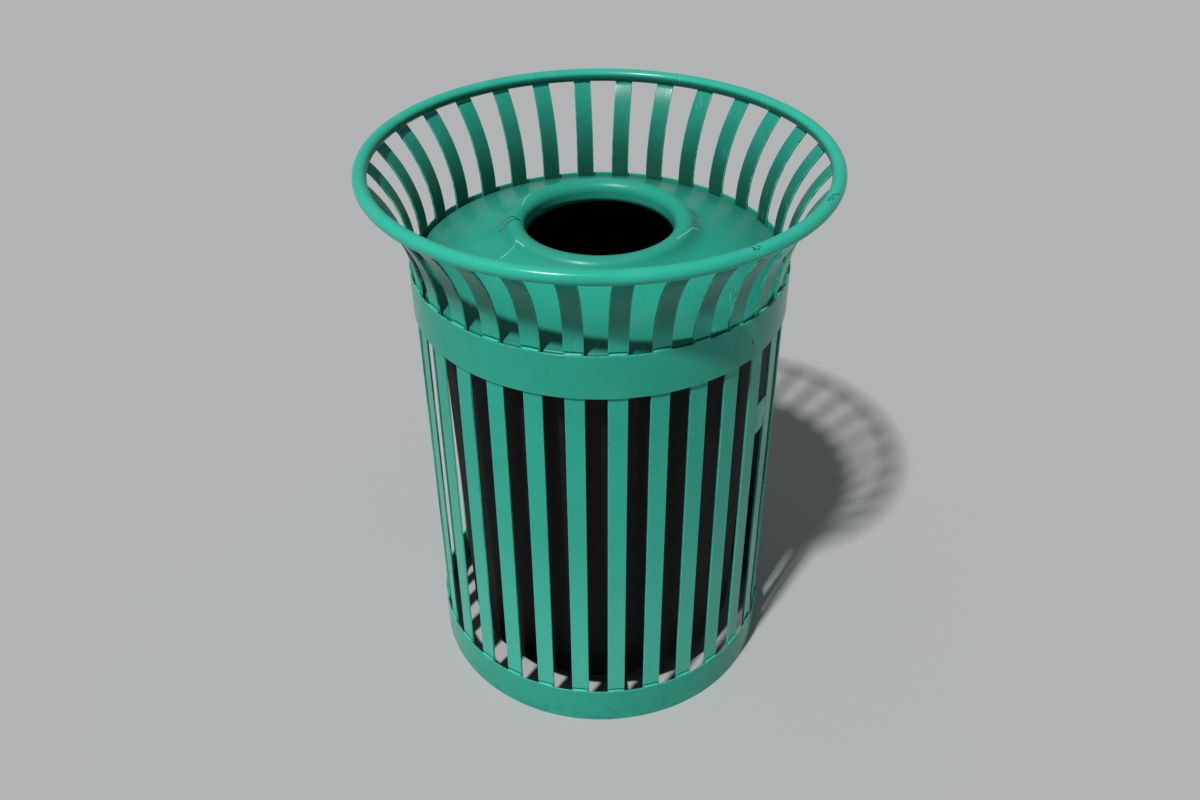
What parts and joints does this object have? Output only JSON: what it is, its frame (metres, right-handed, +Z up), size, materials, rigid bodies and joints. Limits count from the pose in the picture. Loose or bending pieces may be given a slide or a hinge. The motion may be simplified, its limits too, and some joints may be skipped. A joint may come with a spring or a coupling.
{
  "type": "litter bin",
  "caption": "Free-standing slatted steel litter bin with a flared tube rim, two outer bands, a lift-off spun lid with a rolled round opening and a lift-out plastic liner.",
  "frame": {"origin": "on the ground, at the centre of the base band's bottom edge", "axes": "+Z up along the bin's axis; -Y is the side that faces the viewer, where a gap between two slats is centred; +X is to that viewer's right"},
  "size_m": [0.7114, 0.7114, 0.9099],
  "materials": {
    "green_paint": "semi-gloss green powder coat, lightly scuffed",
    "liner_plastic": "matt black moulded plastic"
  },
  "bodies": {
    "frame": {"base_band": "green_paint", "top_band": "green_paint", "rim_tube": "green_paint", "slat_01": "green_paint", "slat_02": "green_paint", "slat_03": "green_paint", "slat_04": "green_paint", "slat_05": "green_paint", "slat_06": "green_paint", "slat_07": "green_paint", "slat_08": "green_paint", "slat_09": "green_paint", "slat_10": "green_paint", "slat_11": "green_paint", "slat_12": "green_paint", "slat_13": "green_paint", "slat_14": "green_paint", "slat_15": "green_paint", "slat_16": "green_paint", "slat_17": "green_paint", "slat_18": "green_paint", "slat_19": "green_paint", "slat_20": "green_paint", "slat_21": "green_paint", "slat_22": "green_paint", "slat_23": "green_paint", "slat_24": "green_paint", "slat_25": "green_paint", "slat_26": "green_paint", "slat_27": "green_paint", "slat_28": "green_paint", "slat_29": "green_paint", "slat_30": "green_paint", "lid_support_ring": "green_paint", "tag_plate": "green_paint", "base_spider": "green_paint"},
    "lid": {"lid": "green_paint"},
    "liner": {"liner": "liner_plastic"}
  },
  "joints": [
    {"name": "lid_lift", "type": "slide", "parent": "frame", "child": "lid", "axis": [0, 0, 1], "range_m": [0, 1.2]},
    {"name": "liner_lift", "type": "slide", "parent": "frame", "child": "liner", "axis": [0, 0, 1], "range_m": [0, 0.9]}
  ],
  "couplings": [
    {"joint": "liner_lift", "follows": "lid_lift", "ratio": 0.75}
  ]
}
